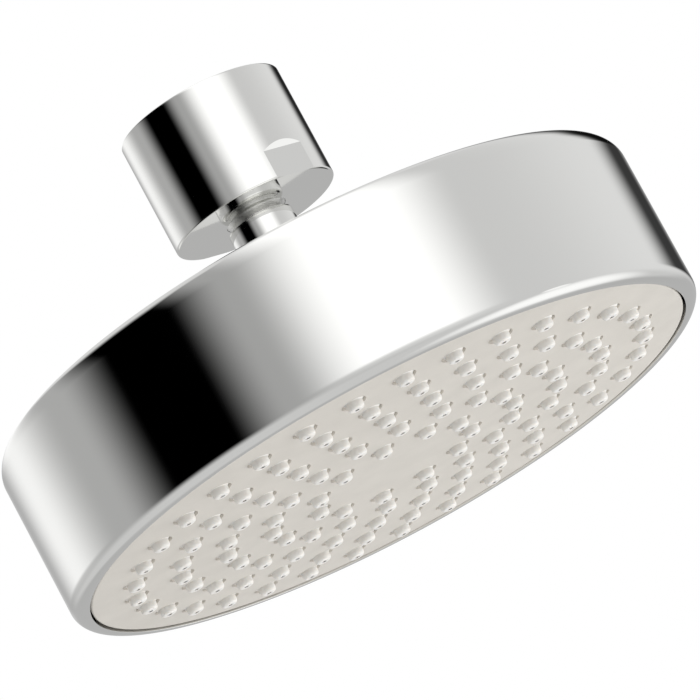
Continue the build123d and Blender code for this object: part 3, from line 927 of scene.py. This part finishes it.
world = bpy.data.worlds.new("white_studio")
bpy.context.scene.world = world
world.use_nodes = True
tree = world.node_tree
straight = add_node(tree, "ShaderNodeTexCoord").outputs["Generated"]
halfway = add_node(
    tree, "ShaderNodeVectorMath", {"operation": "ADD"}, values={1: outward}, links={0: straight}
)
leaning = add_node(
    tree, "ShaderNodeVectorMath", {"operation": "NORMALIZE"}, links={0: halfway.outputs["Vector"]}
)
places = {}
for name, way, factor, offset, sway in (
    ("straight", straight, 1.0, 0.0, 0.0),
    ("leaning", leaning.outputs["Vector"], 2.0, -VIEW_AZIMUTH, PANEL_SWAY),
):
    axes = add_node(tree, "ShaderNodeSeparateXYZ", links={"Vector": way})
    rise = add_node(tree, "ShaderNodeMath", {"operation": "ARCSINE"}, links={0: axes.outputs["Z"]})
    height = add_node(
        tree,
        "ShaderNodeMapRange",
        values={"From Min": -pi / 2, "From Max": pi / 2},
        links={"Value": rise.outputs["Value"]},
    )
    above = add_node(
        tree, "ShaderNodeMath", {"operation": "MAXIMUM"}, values={1: 0.0}, links={0: rise.outputs["Value"]}
    )
    drift = add_node(
        tree,
        "ShaderNodeMath",
        {"operation": "MULTIPLY_ADD"},
        values={1: sway, 2: offset},
        links={0: above.outputs["Value"]},
    )
    compass = add_node(
        tree, "ShaderNodeMath", {"operation": "ARCTAN2"}, links={0: axes.outputs["Y"], 1: axes.outputs["X"]}
    )
    turned = add_node(
        tree,
        "ShaderNodeMath",
        {"operation": "MULTIPLY_ADD"},
        values={1: factor},
        links={0: compass.outputs["Value"], 2: drift.outputs["Value"]},
    )
    wrapped = add_node(
        tree,
        "ShaderNodeMath",
        {"operation": "WRAP"},
        values={1: pi, 2: -pi},
        links={0: turned.outputs["Value"]},
    )
    bearing = add_node(
        tree,
        "ShaderNodeMapRange",
        values={"From Min": -pi, "From Max": pi},
        links={"Value": wrapped.outputs["Value"]},
    )
    places[name] = {BEARING: bearing.outputs["Result"], HEIGHT: height.outputs["Result"]}
print("directions:", sorted(places))

# %% [markdown]
# Each panel is a colour ramp over a bearing or a height. A stop is an angle in degrees and a level, where
# 1 is the white of the backdrop. The ramps that only say how much of a panel shows go from 0 to 1.

# %% Panels
KEY_LEVEL = 1.5
PANELS = {
    "walls": ("leaning", BEARING, KEY_LEVEL, [
        (-180, 0.0), (-170, 0.0), (-150, 0.41), (-130, 0.525), (-64, 0.67), (0, 0.80), (54, 0.615),
        (66, 0.47), (95, 0.48), (137, 0.455), (163, 0.0), (180, 0.0),
    ]),
    "boxes": ("leaning", BEARING, KEY_LEVEL, [
        (-147, 0.0), (-118, 0.72), (-95, 0.67), (-66, 0.0), (68, 0.0), (94, 0.56), (96, 0.56), (131, 0.0),
    ]),
    "box_share": ("leaning", HEIGHT, 1.0, [(-36, 0.0), (-20, 0.25), (-4, 1.0)]),
    "back": ("leaning", HEIGHT, KEY_LEVEL, [(31, 0.0), (47, 0.74), (60, 0.74), (70, 0.86)]),
    "back_share": ("leaning", HEIGHT, 1.0, [(43, 0.0), (59, 1.0)]),
    "ground_share": ("leaning", HEIGHT, 1.0, [(-42, 1.0), (-18, 0.0)]),
    "dim_back": ("straight", BEARING, 1.0, [(13, 0.0), (28, 1.0), (74, 1.0), (86, 0.0)]),
    "dim_share": ("straight", HEIGHT, 1.0, [(-56, 0.0), (-28, 1.0)]),
    "flag": ("straight", BEARING, 1.0, [(3, 0.0), (23, 0.94), (31, 0.94), (51, 0.0)]),
    "flag_share": ("straight", HEIGHT, 1.0, [(3, 0.0), (12, 1.0), (27, 1.0), (42, 0.0)]),
    "flag_top": ("straight", BEARING, 1.0, [(-4, 0.0), (20, 0.9), (36, 0.9), (52, 0.0)]),
    "flag_top_share": ("straight", HEIGHT, 1.0, [(14.5, 0.0), (17.5, 1.0), (26, 1.0), (34, 0.0)]),
}


def grey(level):
    """The colour of a plain grey at this level."""
    return (level, level, level, 1.0)


panels = {}
for name, (place, span, full, table) in PANELS.items():
    ramp = add_node(tree, "ShaderNodeValToRGB", links={"Fac": places[place][span]})
    ramp.color_ramp.interpolation = "EASE"
    stops = ramp.color_ramp.elements
    while len(stops) < len(table):
        stops.new(0.5)
    for stop, (angle, level) in zip(stops, table):
        stop.position = angle / span + 0.5
    for stop, (angle, level) in zip(stops, table):
        stop.color = grey(level / full)
    panels[name] = ramp.outputs["Color"]
    print(name, "stops:", len(stops))

# %% [markdown]
# A flag covers what is behind it where both its bearing and its height allow, so the two ramps are
# multiplied. A soft box low on the camera's right has no edge in the chrome, so it is a round glow. A small
# white card beside it is what the ledge above the wrench flat mirrors. A glow is full inside its first
# radius, in degrees, and gone outside the second.

# %% Flags and glows
LOW_BOX_PLACE = (-18, -47)
LOW_BOX_RADII = (6, 34)
CARD_PLACE = (-46, -26.5)
CARD_RADII = (3.5, 6.5)


def room_way(azimuth, elevation):
    """The direction of a place in the room, from its bearing and height in degrees."""
    around = radians(azimuth)
    up = radians(elevation)
    return Vector((cos(up) * cos(around), cos(up) * sin(around), sin(up)))


covers = {}
for name, upward in (("flag", "flag_share"), ("flag_top", "flag_top_share"), ("dim_back", "dim_share")):
    cover = add_node(
        tree,
        "ShaderNodeVectorMath",
        {"operation": "MULTIPLY"},
        links={0: panels[name], 1: panels[upward]},
    )
    covers[name] = cover.outputs["Vector"]
low_box_way = room_way(*LOW_BOX_PLACE)
card_way = room_way(*CARD_PLACE)
glows = {}
for name, way, (inner, outer) in (("low_box", low_box_way, LOW_BOX_RADII), ("card", card_way, CARD_RADII)):
    nearness = add_node(
        tree, "ShaderNodeVectorMath", {"operation": "DOT_PRODUCT"}, values={1: way}, links={0: straight}
    )
    glow = add_node(
        tree,
        "ShaderNodeMapRange",
        {"interpolation_type": "SMOOTHSTEP"},
        values={"From Min": cos(radians(outer)), "From Max": cos(radians(inner))},
        links={"Value": nearness.outputs["Value"]},
    )
    glows[name] = glow.outputs["Result"]
print("flags:", sorted(covers), "glows:", sorted(glows))

# %% [markdown]
# The room puts the panels together: boxes on the walls, the pale back over both, the flags in front of them,
# the ground below, which is dimmer under the flags, and the glows last.

# %% Room
GROUND_LEVEL = 0.657
DIM_LEVEL = 0.49
LOW_BOX_LEVEL = 1.14
CARD_LEVEL = 1.06

lit_walls = add_node(
    tree,
    "ShaderNodeVectorMath",
    {"operation": "MULTIPLY_ADD"},
    links={0: panels["boxes"], 1: panels["box_share"], 2: panels["walls"]},
)
with_back = add_node(
    tree,
    "ShaderNodeVectorMath",
    {"operation": "MAXIMUM"},
    links={0: lit_walls.outputs["Vector"], 1: panels["back"]},
)
ground = add_node(
    tree,
    "ShaderNodeMix",
    {"data_type": "RGBA"},
    values={"A": grey(GROUND_LEVEL / KEY_LEVEL), "B": grey(DIM_LEVEL / KEY_LEVEL)},
    links={"Factor": covers["dim_back"]},
)
room = with_back.outputs["Vector"]
layers = (
    (panels["back_share"], panels["back"], None),
    (covers["flag"], None, 0.0),
    (covers["flag_top"], None, 0.0),
    (panels["ground_share"], ground.outputs["Result"], None),
    (glows["low_box"], None, LOW_BOX_LEVEL / KEY_LEVEL),
    (glows["card"], None, CARD_LEVEL / KEY_LEVEL),
)
for share, colour, level in layers:
    mix = add_node(tree, "ShaderNodeMix", {"data_type": "RGBA"}, links={"Factor": share, "A": room})
    if colour:
        tree.links.new(colour, mix.inputs["B"])
    else:
        mix.inputs["B"].default_value = grey(level)
    room = mix.outputs["Result"]
print("layers over the walls:", len(layers))

# %% [markdown]
# The camera sees a plain white backdrop, and every other ray sees the room. Between nut, ball and collar
# a ray is mirrored many times before it gets out, so glossy rays may bounce more often than usual.

# %% World
GLOSSY_BOUNCES = 12

room_light = tree.nodes["Background"]
room_light.inputs["Strength"].default_value = KEY_LEVEL
tree.links.new(room, room_light.inputs["Color"])
backdrop = add_node(tree, "ShaderNodeBackground", values={"Color": grey(1.0), "Strength": 1.0})
ray = add_node(tree, "ShaderNodeLightPath")
seen = add_node(
    tree,
    "ShaderNodeMixShader",
    links={
        0: ray.outputs["Is Camera Ray"],
        1: room_light.outputs["Background"],
        2: backdrop.outputs["Background"],
    },
)
tree.links.new(seen.outputs["Shader"], tree.nodes["World Output"].inputs["Surface"])
bpy.context.scene.cycles.glossy_bounces = GLOSSY_BOUNCES
print("world:", world.name)

# %% [markdown]
# The low soft box also lights the face. It gives the nozzles their bright tips and grey left sides. The
# chrome already shows its glow, so the lamp itself stays out of the reflections.

# %% Low soft box
LOW_BOX_DISTANCE = 1.0
LOW_BOX_SIDE = 0.8
LOW_BOX_WATTS = 6.5

bpy.ops.object.select_all(action="DESELECT")
bpy.ops.object.light_add(type="AREA", location=VIEW_TARGET + LOW_BOX_DISTANCE * low_box_way)
soft_box = bpy.context.object
soft_box.name = "low_soft_box"
soft_box.rotation_mode = "QUATERNION"
soft_box.rotation_quaternion = (-low_box_way).to_track_quat("-Z", "Y")
soft_box.data.shape = "SQUARE"
soft_box.data.size = LOW_BOX_SIDE
soft_box.data.energy = LOW_BOX_WATTS
soft_box.visible_camera = False
soft_box.visible_glossy = False
print("soft box at", [round(value, 2) for value in soft_box.location])

# %% [markdown]
# The floor is a plain pale sheet far below, because the camera stands lower than the shower head. It throws
# the room's light back up onto the face. The chrome shows the room's own plain ground instead of it.

# %% Floor
FLOOR_Z = -1.3
FLOOR_SIDE = 14.0

floor_paint, tree, shader, place = new_material("pale_studio_floor")
mottle = add_node(
    tree, "ShaderNodeTexNoise", values={"Scale": per_metre(80.0), "Detail": 2.0}, links={"Vector": place}
)
tint = add_node(tree, "ShaderNodeValToRGB", links={"Fac": mottle.outputs["Fac"]})
tint.color_ramp.elements[0].color = linear("#F3F2F0")
tint.color_ramp.elements[1].color = linear("#F7F6F4")
tree.links.new(tint.outputs["Color"], shader.inputs["Base Color"])
shader.inputs["Roughness"].default_value = 0.9
bpy.ops.object.select_all(action="DESELECT")
bpy.ops.mesh.primitive_plane_add(size=FLOOR_SIDE, location=(0, 0, FLOOR_Z))
floor = bpy.context.object
floor.name = "studio_floor"
bpy.ops.object.transform_apply()
floor.data.materials.append(floor_paint)
floor.visible_glossy = False
print("floor at", FLOOR_Z, "m, side", FLOOR_SIDE, "m")
